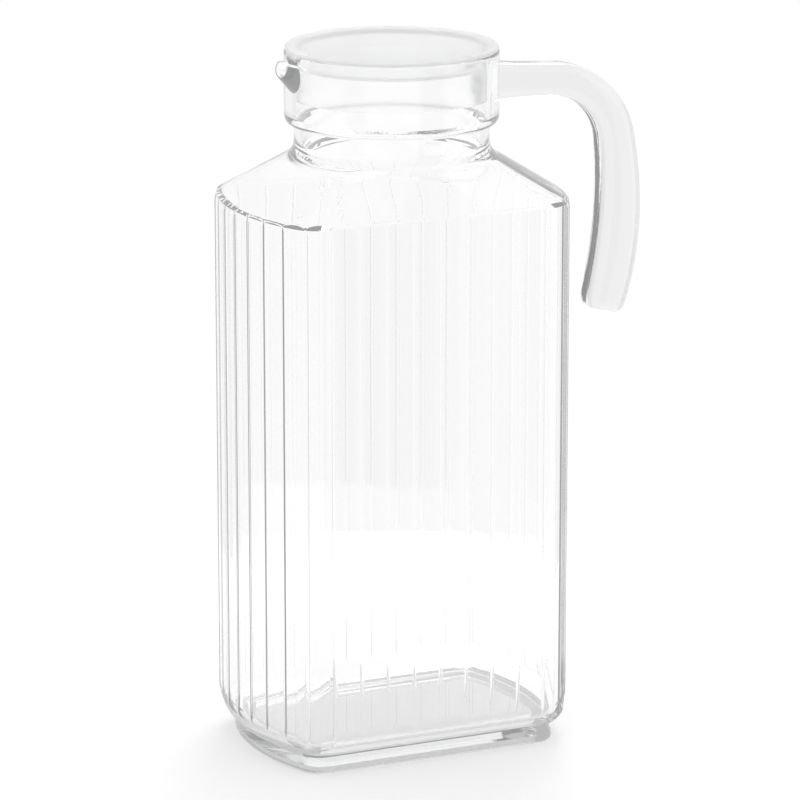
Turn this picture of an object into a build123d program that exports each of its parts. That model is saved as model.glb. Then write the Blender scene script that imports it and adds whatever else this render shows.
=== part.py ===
from build123d import *
import os
from math import asin, atan2, cos, degrees, radians, sin, sqrt

# Glass fridge jug with a push-in plastic lid, in millimetres.
# The origin is the centre of the foot on the table, on the axis of body and mouth.
# +Z is up, +X points to the handle, -X to the spout, and -Y is the front face.

os.makedirs("parts", exist_ok=True)

# Body plan: flat front and back, bowed narrow sides, rounded corners
body_width = 129.4
side_bow_radius = 96.0
corner_radius = 14.0

# Flutes: flat panels between narrow rounded ridges, evenly spaced round the body
flute_count = 36
ridge_radius = 0.9
ridge_height = 0.5
ridge_bottom = 17.0
ridge_taper_length = 3.0
ridge_taper_angle = 12.0

# Heights on the glass, each rise standing on the one before
shoulder_height = 214.5
shoulder_rise = 15.0
flare_rise = 6.5
neck_rise = 6.5
collar_rise = 28.1

# Round parts of the glass, each width added to the bore or to the one before
bore_radius = 36.5
collar_wall = 4.3
throat_step = 2.6
neck_wall = 3.2
flare_width = 3.7
front_margin = 4.2
collar_underside_round = 3.0
rim_round = 1.2
shoulder_round = 2.4

# Foot and heel
foot_height = 7.0
foot_inset = 5.5
foot_round = 1.5
heel_radius = 9.3
recess_margin = 7.0
recess_depth = 1.6

# Inside of the glass
wall = 3.5
base_thickness = 9.0
inner_heel_radius = 8.0

# Spout: a lobe drawn out of the collar towards a smaller round tip, with a pouring channel
spout_root_radius = 7.4
spout_root_drop = 8.0
spout_run = 6.7
spout_rise = 3.1
spout_tip_radius = 4.3
channel_radius = 10.0
channel_inset = 2.5
channel_length = 16.0
channel_taper = 28.0

# Handle: a pressed solid hook, fused to the collar by its upper end only
handle_drop = 15.5
handle_breadth = 13.0
handle_corner = 5.0
handle_root_depth = 16.2
handle_arm_depth = 13.0
handle_bend_depth = 15.2
handle_end_depth = 16.7
handle_arm_length = 30.3
handle_arm_fall = 1.3
handle_bend_radius = 28.5
handle_bend_angle = 78.5
grip_radius = 150.0
grip_angle = 26.8
handle_end_round = 4.8

# Lid: a shallow dished cap with a flange, a skirt and a tab over the spout
lid_clearance = 0.3
lid_flange_inset = 0.4
lid_flange_thickness = 1.4
lid_wall = 1.6
lid_skirt_depth = 18.0
lid_dish_depth = 6.5
lid_tab_width = 9.6
lid_tab_stand_out = 1.0
lid_tab_thickness = 3.0

# Sizes worked out from the ones above
flare_bottom = shoulder_height + shoulder_rise
neck_bottom = flare_bottom + flare_rise
collar_bottom = neck_bottom + neck_rise
rim_height = collar_bottom + collar_rise
collar_radius = bore_radius + collar_wall
throat_radius = bore_radius - throat_step
neck_radius = throat_radius + neck_wall
flare_radius = neck_radius + flare_width
body_depth = 2 * (flare_radius + front_margin)
half_width = body_width / 2
half_depth = body_depth / 2
bow_centre = half_width - side_bow_radius
corner_y = half_depth - corner_radius
corner_x = bow_centre + sqrt((side_bow_radius - corner_radius) ** 2 - corner_y**2)
bow_angle = degrees(atan2(corner_y, corner_x - bow_centre))
bow_end_x = bow_centre + side_bow_radius * cos(radians(bow_angle))
bow_end_y = side_bow_radius * sin(radians(bow_angle))
heel_bottom = foot_height - heel_radius * (
    1 - sqrt(1 - ((heel_radius - foot_inset) / heel_radius) ** 2)
)
lid_top = rim_height + lid_flange_thickness
skirt_radius = bore_radius - lid_clearance
lid_flange_radius = collar_radius - lid_flange_inset
lid_tab_length = lid_flange_radius + lid_tab_stand_out - skirt_radius + lid_wall / 2
lobe_length = sqrt(spout_run**2 + spout_rise**2)
lobe_slope = degrees(asin((spout_root_radius - spout_tip_radius) / lobe_length))
lobe_plane = Plane(
    origin=(-bore_radius, 0, rim_height - spout_root_drop),
    x_dir=(-spout_run, 0, spout_rise),
    z_dir=(0, 1, 0),
)
handle_height = rim_height - handle_drop


def plan_outline(inset):
    """Edges of the body's outline seen from above, without its flutes."""
    corner = corner_radius - inset
    bow = side_bow_radius - inset
    corner_turn = 90 - bow_angle
    Line((-corner_x, inset - half_depth), (corner_x, inset - half_depth))
    CenterArc((corner_x, -corner_y), corner, -90, corner_turn)
    CenterArc((bow_centre, 0), bow, -bow_angle, 2 * bow_angle)
    CenterArc((corner_x, corner_y), corner, bow_angle, corner_turn)
    Line((corner_x, half_depth - inset), (-corner_x, half_depth - inset))
    CenterArc((-corner_x, corner_y), corner, 90, corner_turn)
    CenterArc((-bow_centre, 0), bow, 180 - bow_angle, 2 * bow_angle)
    CenterArc((-corner_x, -corner_y), corner, 180 + bow_angle, corner_turn)


def matched_circle(radius):
    """A circle in as many arcs as the body's outline, ending in the same directions."""
    front_angle = degrees(atan2(half_depth, corner_x))
    side_angle = degrees(atan2(bow_end_y, bow_end_x))
    quarter = [-front_angle, -side_angle, side_angle, front_angle]
    starts = [front_angle - 180] + quarter + [180 - front_angle, 180 - side_angle, 180 + side_angle]
    for start, end in zip(starts, starts[1:] + [180 + front_angle]):
        CenterArc((0, 0), radius, start, end - start)


# Outline of the body, and the corners between its flutes, evenly spaced from the front middle
with BuildLine() as plan:
    plan_outline(0)
plan_wire = plan.wires()[0]
front_middle = corner_x / plan_wire.length
flute_places = [(front_middle + i / flute_count) % 1 for i in range(flute_count)]
flute_corners = [plan_wire @ place for place in flute_places]
ridge_centres = []
for place, corner in zip(flute_places, flute_corners):
    along = plan_wire % place
    outward = Vector(along.Y, -along.X, 0)
    ridge_centres.append(corner + outward * (ridge_height - ridge_radius))


# Space inside the glass, from the thick base up through the shoulder to the mouth
with BuildPart() as cavity:
    with BuildSketch(Plane.XY.offset(base_thickness)):
        with BuildLine():
            plan_outline(wall)
        make_face()
    extrude(amount=shoulder_height - wall / 2 - base_thickness)
    fillet(cavity.edges().group_by(Axis.Z)[0], inner_heel_radius)
    with BuildSketch(Plane.XY.offset(shoulder_height - wall / 2)):
        with BuildLine():
            plan_outline(wall)
        make_face()
    with BuildSketch(Plane.XY.offset(flare_bottom)):
        with BuildLine():
            matched_circle(throat_radius)
        make_face()
    loft()
    with BuildSketch(Plane.XY.offset(flare_bottom)):
        Circle(throat_radius)
    extrude(amount=collar_bottom - flare_bottom)
    with BuildSketch(Plane.XY.offset(collar_bottom)):
        Circle(throat_radius)
    with BuildSketch(Plane.XY.offset(collar_bottom + wall)):
        Circle(bore_radius)
    loft(ruled=True)
    with BuildSketch(Plane.XY.offset(collar_bottom + wall)):
        Circle(bore_radius)
    extrude(amount=rim_height - collar_bottom)

# The glass vessel
with BuildPart() as vessel:
    # Body between the heel and the shoulder's edge
    with BuildSketch(Plane.XY.offset(heel_bottom)):
        with BuildLine():
            plan_outline(0)
        make_face()
    extrude(amount=shoulder_height - heel_bottom)
    fillet(vessel.edges().group_by(Axis.Z)[0], heel_radius)

    # Shoulder, sloping from the body's outline to the round neck
    with BuildSketch(Plane.XY.offset(shoulder_height)):
        with BuildLine():
            plan_outline(0)
        make_face()
    with BuildSketch(Plane.XY.offset(flare_bottom)):
        with BuildLine():
            matched_circle(flare_radius)
        make_face()
    loft()
    shoulder_edges = vessel.edges().filter_by_position(
        Axis.Z, shoulder_height - 0.01, shoulder_height + 0.01
    )
    fillet(shoulder_edges, shoulder_round)

    # Flutes: the panels between their corners cut the rounded outline flat
    with BuildSketch():
        with BuildLine():
            Polyline(*flute_corners, close=True)
        make_face()
    extrude(amount=flare_bottom, mode=Mode.INTERSECT)

    # Ridges between the flutes, fading out at the heel and at the shoulder's edge
    with BuildSketch(Plane.XY.offset(ridge_bottom)) as ridge_feet:
        with Locations(*ridge_centres):
            Circle(ridge_radius)
    extrude(amount=shoulder_height - ridge_taper_length - ridge_bottom)
    extrude(ridge_feet.sketch, amount=-ridge_taper_length, taper=ridge_taper_angle)
    with BuildSketch(Plane.XY.offset(shoulder_height - ridge_taper_length)):
        with Locations(*ridge_centres):
            Circle(ridge_radius)
    extrude(amount=ridge_taper_length, taper=ridge_taper_angle)

    # Foot under the heel, with a shallow recess beneath
    with BuildSketch():
        with BuildLine():
            plan_outline(foot_inset)
        make_face()
    extrude(amount=foot_height)
    fillet(vessel.edges().group_by(Axis.Z)[0], foot_round)
    with BuildSketch():
        with BuildLine():
            plan_outline(foot_inset + recess_margin)
        make_face()
    extrude(amount=recess_depth, mode=Mode.SUBTRACT)

    # Flare, neck and collar, turned in one profile
    with BuildSketch(Plane.XZ):
        with BuildLine():
            Line((0, flare_bottom), (flare_radius, flare_bottom))
            TangentArc((neck_radius, neck_bottom), (flare_radius, flare_bottom), tangent=(0, -1))
            Line((neck_radius, neck_bottom), (neck_radius, collar_bottom))
            TangentArc(
                (collar_radius, collar_bottom + collar_underside_round),
                (neck_radius, collar_bottom),
                tangent=(0, -1),
            )
            Line(
                (collar_radius, collar_bottom + collar_underside_round),
                (collar_radius, rim_height - rim_round),
            )
            TangentArc(
                (collar_radius, rim_height - rim_round),
                (collar_radius - rim_round, rim_height),
                tangent=(0, 1),
            )
            Polyline((collar_radius - rim_round, rim_height), (0, rim_height), (0, flare_bottom))
        make_face()
    revolve(axis=Axis.Z)

    # Spout lobe: a large ball and a small one in a common skin, level with the rim
    with BuildSketch(lobe_plane):
        with BuildLine():
            root_end = CenterArc((0, 0), spout_root_radius, 180, lobe_slope - 90 - 2 * lobe_slope)
            tip_end = CenterArc((lobe_length, 0), spout_tip_radius, 90 - lobe_slope, lobe_slope - 90)
            Line(root_end @ 1, tip_end @ 0)
            Line(tip_end @ 1, root_end @ 0)
        make_face()
    revolve(axis=Axis(lobe_plane.origin, lobe_plane.x_dir))
    split(bisect_by=Plane.XY.offset(rim_height), keep=Keep.BOTTOM)

    # Space inside, and the channel that the drink runs out through
    add(cavity.part, mode=Mode.SUBTRACT)
    with BuildSketch(Plane.YZ.offset(channel_inset - bore_radius)):
        with Locations((0, lid_top)):
            Circle(channel_radius)
    extrude(amount=-channel_length, taper=channel_taper, mode=Mode.SUBTRACT)

# Handle: arm out of the collar, bend, and a long slightly curved grip with a free round end
with BuildPart() as handle:
    with BuildLine(Plane.XZ) as hook:
        arm = Line(
            (neck_radius, handle_height),
            (neck_radius + handle_arm_length, handle_height - handle_arm_fall),
        )
        bend = JernArc(arm @ 1, arm % 1, handle_bend_radius, -handle_bend_angle)
        grip = JernArc(bend @ 1, bend % 1, grip_radius, -grip_angle)
    stations = [
        (arm @ 0, arm % 0, handle_root_depth),
        (arm @ 1, arm % 1, handle_arm_depth),
        (bend @ 1, bend % 1, handle_bend_depth),
        (grip @ 1, grip % 1, handle_end_depth),
    ]
    for place, along, depth in stations:
        with BuildSketch(Plane(origin=place, x_dir=(0, 1, 0), z_dir=along)):
            RectangleRounded(handle_breadth, depth, handle_corner)
    sweep(path=hook.line, multisection=True)
    fillet(handle.faces().sort_by(Axis.Z)[0].edges(), handle_end_round)
    # The root sits flat on the collar's round wall
    with BuildSketch(Plane.XY.offset(collar_bottom)):
        Circle(collar_radius)
    extrude(amount=rim_height - collar_bottom, mode=Mode.SUBTRACT)

# Lid: flange on the rim, skirt in the mouth, dished middle
with BuildPart() as lid:
    with BuildSketch(Plane.XZ):
        with BuildLine():
            Polyline(
                (0, lid_top - lid_dish_depth),
                (skirt_radius - lid_wall, lid_top - lid_dish_depth),
                (skirt_radius - lid_wall, lid_top),
                (lid_flange_radius, lid_top),
                (lid_flange_radius, rim_height),
                (skirt_radius, rim_height),
                (skirt_radius, rim_height - lid_skirt_depth),
                (skirt_radius - lid_wall, rim_height - lid_skirt_depth),
                (skirt_radius - lid_wall, lid_top - lid_dish_depth - lid_wall),
                (0, lid_top - lid_dish_depth - lid_wall),
                close=True,
            )
        make_face()
    revolve(axis=Axis.Z)
    with BuildSketch(Plane.XY.offset(lid_top)):
        with Locations((-lid_flange_radius - lid_tab_stand_out, 0)):
            Rectangle(lid_tab_length, lid_tab_width, align=(Align.MIN, Align.CENTER))
    extrude(amount=-lid_tab_thickness)

vessel.part.label = "vessel"
handle.part.label = "handle"
lid.part.label = "lid"
export_step(vessel.part, "parts/vessel.step")
export_step(handle.part, "parts/handle.step")
export_step(lid.part, "parts/lid.step")
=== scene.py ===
"""Glass fridge jug with a push-in lid, dressed and lit on a white table."""

import logging
import math
from collections.abc import Mapping, Sequence
from dataclasses import dataclass, field
from enum import Enum

import bpy
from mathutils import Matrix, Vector


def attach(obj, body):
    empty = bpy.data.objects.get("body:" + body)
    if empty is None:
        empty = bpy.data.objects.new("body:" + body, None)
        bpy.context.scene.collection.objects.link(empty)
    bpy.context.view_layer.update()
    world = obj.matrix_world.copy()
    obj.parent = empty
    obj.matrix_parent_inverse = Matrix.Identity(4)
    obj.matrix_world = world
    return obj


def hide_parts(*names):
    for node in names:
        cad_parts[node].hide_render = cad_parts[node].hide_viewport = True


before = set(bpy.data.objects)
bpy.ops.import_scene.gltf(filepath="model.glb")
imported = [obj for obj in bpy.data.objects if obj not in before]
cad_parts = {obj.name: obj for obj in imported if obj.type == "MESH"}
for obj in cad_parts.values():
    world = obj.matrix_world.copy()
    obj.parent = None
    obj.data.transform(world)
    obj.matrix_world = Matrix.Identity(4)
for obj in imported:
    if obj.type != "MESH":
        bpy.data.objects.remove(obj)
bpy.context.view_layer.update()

LOG = logging.getLogger("jug")
MM = 0.001

Colour = tuple[float, float, float, float]
WHITE: Colour = (1.0, 1.0, 1.0, 1.0)


class RayKind(Enum):
    """Light Path outputs for the rays that see the white surroundings."""

    CAMERA = "Is Camera Ray"
    GLOSSY = "Is Glossy Ray"
    TRANSMISSION = "Is Transmission Ray"


class NodeTree:
    """A short way to add and join the nodes of a material or the world."""

    def __init__(self, tree: bpy.types.NodeTree) -> None:
        """Empties the tree.

        Args:
            tree: the node tree to fill.
        """
        self.tree = tree
        tree.nodes.clear()

    def add(
        self,
        kind: str,
        inputs: Mapping[str | int, object] | None = None,
        **settings: object,
    ) -> bpy.types.Node:
        """Adds one node.

        Args:
            kind: the node's type, without its ShaderNode prefix.
            inputs: constants for the node's inputs, by name or number.
            settings: properties of the node to set.

        Returns:
            The new node.
        """
        node = self.tree.nodes.new("ShaderNode" + kind)
        for name, value in settings.items():
            setattr(node, name, value)
        for name, value in (inputs or {}).items():
            node.inputs[name].default_value = value
        return node

    def join(self, source: bpy.types.NodeSocket, target: bpy.types.NodeSocket) -> None:
        """Links one socket to another.

        Args:
            source: the output that gives the value.
            target: the input that takes it.
        """
        self.tree.links.new(source, target)

    def fold(
        self, operation: str, values: Sequence[bpy.types.NodeSocket]
    ) -> bpy.types.NodeSocket:
        """Brings several values down to one by a chain of maths nodes.

        Args:
            operation: the maths node's operation, such as MAXIMUM.
            values: the sockets that hold the values.

        Returns:
            The socket that holds the result.
        """
        result = values[0]
        for value in values[1:]:
            pair = self.add("Math", operation=operation)
            self.join(result, pair.inputs[0])
            self.join(value, pair.inputs[1])
            result = pair.outputs[0]
        return result

    def uneven(
        self, size_m: float, height_m: float, detail: float
    ) -> bpy.types.NodeSocket:
        """Makes the surface slightly uneven, with noise fixed to the object.

        Args:
            size_m: the width of one wave.
            height_m: the height of the waves.
            detail: the number of finer layers of noise.

        Returns:
            The socket that holds the bent normal.
        """
        place = self.add("TexCoord")
        noise = self.add("TexNoise", {"Scale": 1.0 / size_m, "Detail": detail})
        bump = self.add("Bump", {"Distance": height_m})
        self.join(place.outputs["Object"], noise.inputs["Vector"])
        self.join(noise.outputs["Fac"], bump.inputs["Height"])
        return bump.outputs["Normal"]


def new_material(name: str) -> tuple[bpy.types.Material, NodeTree]:
    """Makes a material with an empty node tree.

    Args:
        name: the material's name.

    Returns:
        The material and its nodes.
    """
    material = bpy.data.materials.new(name)
    material.use_nodes = True
    return material, NodeTree(material.node_tree)


@dataclass(frozen=True)
class GlassFinish:
    """Clear glass with faint waves in its surface.

    The index is a little under that of real glass, and the surface has a faint painted
    glow, light of its own that real glass lacks. Both keep the light trapped in the
    glass from looking black.
    """

    name: str = "clear_glass"
    ior: float = 1.42
    roughness: float = 0.0
    # strength of the painted glow: a faint white emission that lightens the glass
    painted_glow: float = 0.05
    body_colour: Colour = (0.90, 0.91, 0.91, 1.0)
    absorption: float = 20.0
    wave_size_m: float = 0.035
    wave_height_m: float = 0.00012
    wave_detail: float = 1.0

    def make(self) -> bpy.types.Material:
        """Builds the material.

        Returns:
            The glass material.
        """
        material, nodes = new_material(self.name)
        output = nodes.add("OutputMaterial")
        glass = nodes.add(
            "BsdfPrincipled",
            {
                "Base Color": WHITE,
                "Roughness": self.roughness,
                "IOR": self.ior,
                "Transmission Weight": 1.0,
                # painted glow: a faint white emission that lightens the glass
                "Emission Color": WHITE,
                "Emission Strength": self.painted_glow,
            },
        )
        depth = nodes.add(
            "VolumeAbsorption", {"Color": self.body_colour, "Density": self.absorption}
        )
        waves = nodes.uneven(self.wave_size_m, self.wave_height_m, self.wave_detail)
        nodes.join(waves, glass.inputs["Normal"])
        nodes.join(glass.outputs["BSDF"], output.inputs["Surface"])
        nodes.join(depth.outputs["Volume"], output.inputs["Volume"])
        return material


@dataclass(frozen=True)
class LidFinish:
    """Translucent white moulded plastic: cloudy on top, clearer in the thin skirt, with
    a faint painted glow that lightens it.
    """

    name: str = "lid_plastic"
    colour: Colour = (0.95, 0.952, 0.952, 1.0)
    roughness: float = 0.3
    ior: float = 1.06
    # strength of the painted glow: a faint white emission that lightens the lid
    painted_glow: float = 0.02
    cap_transmission: float = 0.3
    skirt_transmission: float = 1.0
    rim_height_m: float = 0.2706
    fade_m: float = 0.0012
    subsurface: float = 0.35
    subsurface_radius_m: float = 0.004
    grain_size_m: float = 0.0006
    grain_height_m: float = 0.00001
    grain_detail: float = 2.0

    def make(self) -> bpy.types.Material:
        """Builds the material.

        Returns:
            The lid's material.
        """
        material, nodes = new_material(self.name)
        output = nodes.add("OutputMaterial")
        plastic = nodes.add(
            "BsdfPrincipled",
            {
                "Base Color": self.colour,
                "Roughness": self.roughness,
                "IOR": self.ior,
                "Subsurface Weight": self.subsurface,
                "Subsurface Scale": self.subsurface_radius_m,
                "Subsurface Radius": WHITE[:3],
                # painted glow: a faint white emission that lightens the lid
                "Emission Color": WHITE,
                "Emission Strength": self.painted_glow,
            },
        )
        nodes.join(self.clearness(nodes), plastic.inputs["Transmission Weight"])
        grain = nodes.uneven(self.grain_size_m, self.grain_height_m, self.grain_detail)
        nodes.join(grain, plastic.inputs["Normal"])
        nodes.join(plastic.outputs["BSDF"], output.inputs["Surface"])
        return material

    def clearness(self, nodes: NodeTree) -> bpy.types.NodeSocket:
        """Fades from the clear skirt to the cloudy cap at the height of the rim.

        Args:
            nodes: the material's nodes.

        Returns:
            The socket that holds the share of light let through.
        """
        place = nodes.add("TexCoord")
        parts = nodes.add("SeparateXYZ")
        nodes.join(place.outputs["Object"], parts.inputs[0])
        fade = nodes.add(
            "MapRange",
            {
                "From Min": self.rim_height_m - self.fade_m,
                "From Max": self.rim_height_m,
                "To Min": self.skirt_transmission,
                "To Max": self.cap_transmission,
            },
            interpolation_type="SMOOTHSTEP",
        )
        nodes.join(parts.outputs["Z"], fade.inputs["Value"])
        return fade.outputs[0]


@dataclass(frozen=True)
class FloorFinish:
    """A white table that keeps the object's shadow and joins the backdrop."""

    name: str = "white_table"
    colour: Colour = (0.73, 0.73, 0.73, 1.0)
    glow: float = 0.34
    glow_in_glass: float = 0.14

    def make(self) -> bpy.types.Material:
        """Builds the material.

        Returns:
            The table's material.
        """
        material, nodes = new_material(self.name)
        output = nodes.add("OutputMaterial")
        paint = nodes.add("BsdfDiffuse", {"Color": self.colour})
        glow = nodes.add("Emission", {"Color": WHITE})
        nodes.join(self.glow_seen(nodes), glow.inputs["Strength"])
        both = nodes.add("AddShader")
        nodes.join(paint.outputs[0], both.inputs[0])
        nodes.join(glow.outputs[0], both.inputs[1])
        nodes.join(both.outputs[0], output.inputs["Surface"])
        return material

    def glow_seen(self, nodes: NodeTree) -> bpy.types.NodeSocket:
        """Lightens the table for the camera, and less so through glass.

        Args:
            nodes: the material's nodes.

        Returns:
            The socket that holds the strength of the glow.
        """
        path = nodes.add("LightPath")
        camera = path.outputs[RayKind.CAMERA.value]
        seen = nodes.fold("MAXIMUM", [path.outputs[kind.value] for kind in RayKind])
        extra = nodes.add(
            "Math", {1: self.glow - self.glow_in_glass}, operation="MULTIPLY"
        )
        nodes.join(camera, extra.inputs[0])
        strength = nodes.add(
            "Math", {1: self.glow_in_glass}, operation="MULTIPLY_ADD"
        )
        nodes.join(seen, strength.inputs[0])
        nodes.join(extra.outputs[0], strength.inputs[2])
        return strength.outputs[0]


@dataclass
class Jug:
    """The glass body and its handle, which stay as the frame gives them."""

    finish: GlassFinish = field(default_factory=GlassFinish)
    glass_nodes: tuple[str, ...] = ("vessel", "handle")

    def dress(self) -> None:
        """Gives both glass nodes their finish."""
        glass = self.finish.make()
        for name in self.glass_nodes:
            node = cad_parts[name]
            node.data.materials.clear()
            node.data.materials.append(glass)
            LOG.info("dressed %s", name)


@dataclass
class Lid:
    """The push-in lid: one moulding with a thin skirt, a dish and a tab at the spout.

    Heights are above the table and radii are from the lid's axis. The curves are
    steps in radius and height, from the dish's edge and from the skirt and the top.
    """

    finish: LidFinish = field(default_factory=LidFinish)
    turns: int = 128
    top_mm: float = 272.0
    rim_mm: float = 270.62
    flange_mm: float = 40.4
    flange_chamfer_mm: float = 0.5
    skirt_mm: float = 36.1
    skirt_wall_mm: float = 1.0
    skirt_bottom_mm: float = 252.7
    dish_mm: float = 30.5
    dish_floor_mm: float = 265.5
    floor_wall_mm: float = 1.3
    dish_curve_mm: tuple[tuple[float, float], ...] = (
        (0.0, 0.0),
        (1.3, 0.15),
        (2.4, 0.7),
        (3.2, 1.7),
    )
    lip_curve_mm: tuple[tuple[float, float], ...] = (
        (-1.8, -3.5),
        (-1.3, -2.3),
        (-0.7, -1.3),
        (0.1, -0.6),
        (0.9, -0.25),
        (1.9, -0.08),
    )
    under_slope_mm: tuple[float, float, float] = (0.2, 1.8, 1.6)
    tab_reach_mm: float = 41.3
    tab_width_mm: float = 9.4
    tab_bottom_mm: float = 269.1
    tab_drop_mm: float = 0.05
    edge_mm: float = 0.35
    edge_segments: int = 3
    edge_angle_deg: float = 50.0
    smooth_angle_deg: float = 35.0
    merge_mm: float = 0.01

    def profile(self) -> list[tuple[float, float]]:
        """Half of the lid's section, from the middle of the dish and back under it.

        Returns:
            Radius and height of each corner, in millimetres.
        """
        inside = self.skirt_mm - self.skirt_wall_mm
        under = self.dish_floor_mm - self.floor_wall_mm
        start, end, rise = self.under_slope_mm
        return [
            (0.0, self.dish_floor_mm),
            *((self.dish_mm + x, self.dish_floor_mm + z) for x, z in self.dish_curve_mm),
            *((self.skirt_mm + x, self.top_mm + z) for x, z in self.lip_curve_mm),
            (self.flange_mm - self.flange_chamfer_mm, self.top_mm),
            (self.flange_mm, self.top_mm - self.flange_chamfer_mm),
            (self.flange_mm, self.rim_mm),
            (self.skirt_mm, self.rim_mm),
            (self.skirt_mm, self.skirt_bottom_mm),
            (inside, self.skirt_bottom_mm),
            (inside - start, under + rise),
            (inside - end, under),
            (0.0, under),
        ]

    def build(self) -> bpy.types.Object:
        """Turns the profile, adds the tab and hides the lid's plain solid.

        Returns:
            The finished lid.
        """
        lid = self.turn_profile()
        tab = self.make_tab()
        bpy.ops.object.select_all(action="DESELECT")
        lid.select_set(True)
        bpy.context.view_layer.objects.active = lid
        union = lid.modifiers.new("tab", "BOOLEAN")
        union.operation = "UNION"
        union.object = tab
        bpy.ops.object.modifier_apply(modifier=union.name)
        bpy.data.objects.remove(tab)
        soft = lid.modifiers.new("soft_edges", "BEVEL")
        soft.width = self.edge_mm * MM
        soft.segments = self.edge_segments
        soft.limit_method = "ANGLE"
        soft.angle_limit = math.radians(self.edge_angle_deg)
        bpy.ops.object.modifier_apply(modifier=soft.name)
        bpy.ops.object.shade_smooth_by_angle(angle=math.radians(self.smooth_angle_deg))
        lid.data.materials.clear()
        lid.data.materials.append(self.finish.make())
        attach(lid, "lid")
        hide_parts("lid")
        LOG.info("built lid with %d faces", len(lid.data.polygons))
        return lid

    def turn_profile(self) -> bpy.types.Object:
        """Extrudes a point along the profile and spins the line round the lid's axis.

        Returns:
            The turned body of the lid.
        """
        corners = self.profile()
        bpy.ops.object.select_all(action="DESELECT")
        bpy.ops.mesh.primitive_plane_add(size=MM)
        lid = bpy.context.object
        lid.name = "lid_moulding"
        lid.data.name = "lid_moulding"
        bpy.ops.object.mode_set(mode="EDIT")
        bpy.ops.mesh.select_all(action="SELECT")
        bpy.ops.mesh.merge(type="CENTER")
        bpy.ops.transform.translate(value=(corners[0][0] * MM, 0.0, corners[0][1] * MM))
        for here, there in zip(corners, corners[1:]):
            step = ((there[0] - here[0]) * MM, 0.0, (there[1] - here[1]) * MM)
            bpy.ops.mesh.extrude_region_move(TRANSFORM_OT_translate={"value": step})
        bpy.ops.mesh.select_all(action="SELECT")
        bpy.ops.mesh.spin(
            steps=self.turns,
            angle=math.tau,
            center=(0.0, 0.0, 0.0),
            axis=(0.0, 0.0, 1.0),
        )
        bpy.ops.mesh.select_all(action="SELECT")
        bpy.ops.mesh.remove_doubles(threshold=self.merge_mm * MM)
        bpy.ops.mesh.normals_make_consistent(inside=False)
        bpy.ops.object.mode_set(mode="OBJECT")
        return lid

    def make_tab(self) -> bpy.types.Object:
        """Makes the small tab that covers the spout's channel.

        Returns:
            The tab, not yet joined to the lid.
        """
        inner = self.skirt_mm - self.skirt_wall_mm / 2
        length = self.tab_reach_mm - inner
        height = self.top_mm - self.tab_bottom_mm
        middle_z = self.top_mm - self.tab_drop_mm - height / 2
        bpy.ops.object.select_all(action="DESELECT")
        bpy.ops.mesh.primitive_cube_add(
            size=1.0, location=(-(inner + length / 2) * MM, 0.0, middle_z * MM)
        )
        tab = bpy.context.object
        tab.scale = (length * MM, self.tab_width_mm * MM, height * MM)
        bpy.ops.object.transform_apply(location=True, rotation=True, scale=True)
        return tab


@dataclass(frozen=True)
class Flag:
    """An upright strip of another tone in the belt of light round the jug."""

    first_deg: float
    last_deg: float
    light: float


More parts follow.
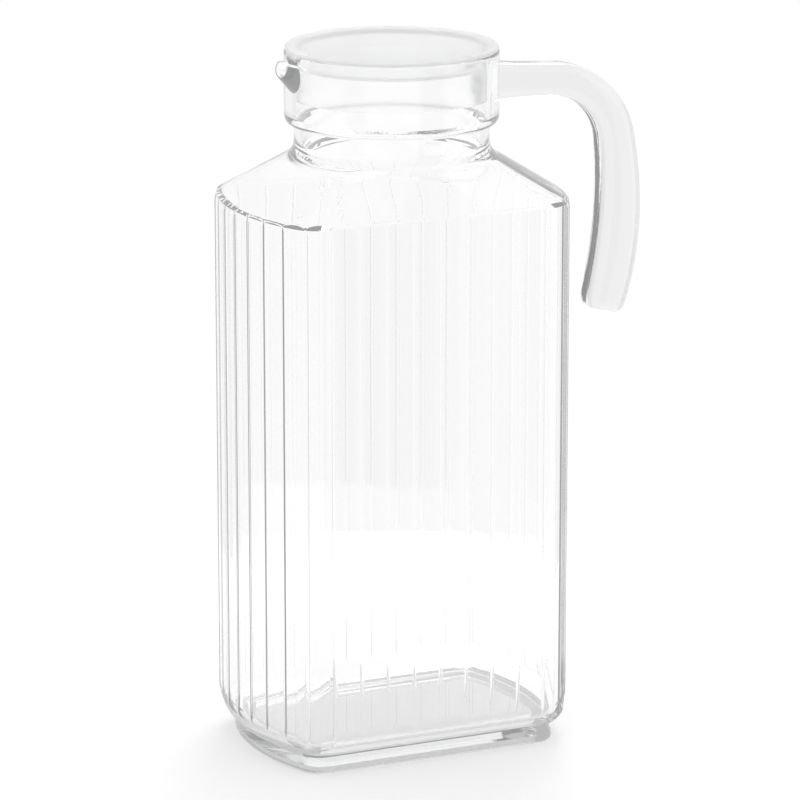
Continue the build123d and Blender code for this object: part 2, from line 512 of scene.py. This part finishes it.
@dataclass(frozen=True)
class Surroundings:
    """White surroundings, with grey flags that only glass and gloss see."""

    name: str = "white_studio"
    backdrop_light: float = 1.0
    even_light: float = 0.88
    flags: tuple[Flag, ...] = (
        Flag(-169.0, -145.0, 0.73),
        Flag(-124.0, -100.0, 0.73),
        Flag(-82.0, -53.0, 0.05),
        Flag(-35.0, -10.0, 0.71),
        Flag(10.0, 35.0, 0.73),
        Flag(100.0, 125.0, 0.71),
        Flag(145.0, 169.0, 0.73),
    )
    flag_edge_deg: float = 2.5
    belt_light: float = 0.81
    high_light: float = 0.77
    low_light: float = 0.81
    top_light: float = 0.86
    low_edge_deg: tuple[float, float] = (-40.0, -32.0)
    high_edge_deg: tuple[float, float] = (24.0, 34.0)
    top_edge_deg: tuple[float, float] = (58.0, 66.0)

    def make(self) -> bpy.types.World:
        """Builds the world.

        Returns:
            The world.
        """
        world = bpy.data.worlds.new(self.name)
        world.use_nodes = True
        nodes = NodeTree(world.node_tree)
        output = nodes.add("OutputWorld")
        backdrop = self.add_light(nodes, self.backdrop_light)
        even = self.add_light(nodes, self.even_light)
        panels = self.add_light(nodes, self.backdrop_light)

        place = nodes.add("TexCoord")
        parts = nodes.add("SeparateXYZ")
        nodes.join(place.outputs["Generated"], parts.inputs[0])
        around = self.add_heights(nodes, parts)
        nodes.join(self.add_flags(nodes, parts), around.inputs["A"])
        nodes.join(around.outputs["Result"], panels.inputs["Strength"])

        path = nodes.add("LightPath")
        seen = {kind: path.outputs[kind.value] for kind in RayKind}
        bent = nodes.fold("MAXIMUM", [seen[RayKind.GLOSSY], seen[RayKind.TRANSMISSION]])
        by_glass = self.add_choice(nodes, bent, even, panels)
        by_camera = self.add_choice(nodes, seen[RayKind.CAMERA], by_glass, backdrop)
        nodes.join(by_camera.outputs[0], output.inputs["Surface"])
        return world

    def add_light(self, nodes: NodeTree, strength: float) -> bpy.types.Node:
        """Adds an even white light.

        Args:
            nodes: the world's nodes.
            strength: how bright it is.

        Returns:
            The light's node.
        """
        return nodes.add("Background", {"Color": WHITE, "Strength": strength})

    def add_choice(
        self,
        nodes: NodeTree,
        factor: bpy.types.NodeSocket,
        if_zero: bpy.types.Node,
        if_one: bpy.types.Node,
    ) -> bpy.types.Node:
        """Adds a choice between two lights.

        Args:
            nodes: the world's nodes.
            factor: the socket that is 0 or 1.
            if_zero: the light for 0.
            if_one: the light for 1.

        Returns:
            The node that gives the chosen light.
        """
        choice = nodes.add("MixShader")
        nodes.join(factor, choice.inputs[0])
        nodes.join(if_zero.outputs[0], choice.inputs[1])
        nodes.join(if_one.outputs[0], choice.inputs[2])
        return choice

    def add_flags(self, nodes: NodeTree, parts: bpy.types.Node) -> bpy.types.NodeSocket:
        """Adds the belt of light at eye height, with its upright flags.

        Args:
            nodes: the world's nodes.
            parts: the node that gives the direction's parts.

        Returns:
            The socket that holds the belt's light.
        """
        level = nodes.add("CombineXYZ")
        nodes.join(parts.outputs["X"], level.inputs["X"])
        nodes.join(parts.outputs["Y"], level.inputs["Y"])
        heading = nodes.add("VectorMath", operation="NORMALIZE")
        nodes.join(level.outputs[0], heading.inputs[0])
        tones = []
        for flag in self.flags:
            middle = math.radians((flag.first_deg + flag.last_deg) / 2)
            half = (flag.last_deg - flag.first_deg) / 2
            near = nodes.add(
                "VectorMath",
                {1: (math.cos(middle), math.sin(middle), 0.0)},
                operation="DOT_PRODUCT",
            )
            nodes.join(heading.outputs["Vector"], near.inputs[0])
            tone = nodes.add(
                "MapRange",
                {
                    "From Min": math.cos(math.radians(half + self.flag_edge_deg)),
                    "From Max": math.cos(math.radians(half - self.flag_edge_deg)),
                    "To Min": self.belt_light,
                    "To Max": flag.light,
                },
                interpolation_type="SMOOTHSTEP",
            )
            nodes.join(near.outputs["Value"], tone.inputs["Value"])
            tones.append(tone.outputs[0])
        return nodes.fold("MINIMUM", tones)

    def add_heights(self, nodes: NodeTree, parts: bpy.types.Node) -> bpy.types.Node:
        """Adds the light below and above the belt, with a soft box overhead.

        Args:
            nodes: the world's nodes.
            parts: the node that gives the direction's parts.

        Returns:
            The mix whose A input takes the belt and whose result is the light.
        """
        height = nodes.add("Math", {1: 0.5, 2: 0.5}, operation="MULTIPLY_ADD")
        nodes.join(parts.outputs["Z"], height.inputs[0])
        tone = nodes.add("ValToRGB")
        share = nodes.add("ValToRGB")
        levels = (
            (self.low_edge_deg[0], self.low_light, 1.0),
            (self.low_edge_deg[1], self.low_light, 0.0),
            (self.high_edge_deg[0], self.high_light, 0.0),
            (self.high_edge_deg[1], self.high_light, 1.0),
            (self.top_edge_deg[0], self.high_light, 1.0),
            (self.top_edge_deg[1], self.top_light, 1.0),
        )
        for ramp in (tone, share):
            nodes.join(height.outputs[0], ramp.inputs[0])
            ramp.color_ramp.elements.remove(ramp.color_ramp.elements[1])
        for index, (degrees, light, outside) in enumerate(levels):
            place = 0.5 + 0.5 * math.sin(math.radians(degrees))
            for ramp, value in ((tone, light), (share, outside)):
                stops = ramp.color_ramp.elements
                stop = stops[0] if index == 0 else stops.new(place)
                stop.position = place
                stop.color = (value, value, value, 1.0)
        mix = nodes.add("Mix", data_type="FLOAT")
        nodes.join(share.outputs["Color"], mix.inputs["Factor"])
        nodes.join(tone.outputs["Color"], mix.inputs["B"])
        return mix


@dataclass
class Studio:
    """White table, white surroundings, one soft lamp and the camera."""

    surroundings: Surroundings = field(default_factory=Surroundings)
    floor_finish: FloorFinish = field(default_factory=FloorFinish)
    floor_radius_m: float = 0.28
    floor_corners: int = 96
    lamp_size_m: float = 0.7
    lamp_power_w: float = 5.5
    lamp_place_m: tuple[float, float, float] = (0.55, 0.85, 1.25)
    focal_px: float = 4682.9
    picture_px: float = 800.0
    sensor_mm: float = 36.0
    azimuth_deg: float = -24.49
    elevation_deg: float = 14.66
    distance_m: float = 1.8024
    target_right_m: float = 0.00317
    target_height_m: float = 0.1333
    far_limit_m: float = 20.0

    def build(self) -> None:
        """Makes the whole studio."""
        self.make_floor()
        bpy.context.scene.world = self.surroundings.make()
        self.make_lamp()
        self.make_camera()
        bpy.context.scene.view_settings.view_transform = "Standard"
        LOG.info("built the studio")

    def make_floor(self) -> None:
        """Adds the white table under the foot."""
        bpy.ops.object.select_all(action="DESELECT")
        bpy.ops.mesh.primitive_circle_add(
            vertices=self.floor_corners, radius=self.floor_radius_m, fill_type="NGON"
        )
        floor = bpy.context.object
        floor.name = "table_top"
        floor.data.materials.append(self.floor_finish.make())

    def make_lamp(self) -> None:
        """Adds a soft lamp above and behind, so that the shadow falls to the front."""
        light = bpy.data.lights.new("soft_key", "AREA")
        light.shape = "DISK"
        light.size = self.lamp_size_m
        light.energy = self.lamp_power_w
        lamp = bpy.data.objects.new("soft_key", light)
        bpy.context.scene.collection.objects.link(lamp)
        lamp.location = self.lamp_place_m
        lamp.rotation_euler = (-lamp.location).to_track_quat("-Z", "Y").to_euler()

    def make_camera(self) -> None:
        """Puts the camera where the picture was taken from."""
        turn = math.radians(self.azimuth_deg)
        tilt = math.radians(self.elevation_deg)
        right = Vector((math.cos(turn), math.sin(turn), 0.0))
        back = Vector(
            (
                math.sin(turn) * math.cos(tilt),
                -math.cos(turn) * math.cos(tilt),
                math.sin(tilt),
            )
        )
        target = right * self.target_right_m + Vector((0.0, 0.0, self.target_height_m))
        data = bpy.data.cameras.new("camera")
        data.sensor_width = self.sensor_mm
        data.lens = self.focal_px / self.picture_px * self.sensor_mm
        data.clip_end = self.far_limit_m
        camera = bpy.data.objects.new("camera", data)
        bpy.context.scene.collection.objects.link(camera)
        camera.location = target + back * self.distance_m
        camera.rotation_euler = (-back).to_track_quat("-Z", "Y").to_euler()
        bpy.context.scene.camera = camera


def main() -> None:
    """Builds and dresses the jug, then the studio round it."""
    logging.basicConfig(level=logging.INFO, format="%(message)s")
    Jug().dress()
    Lid().build()
    Studio().build()


if __name__ == "__main__":
    main()
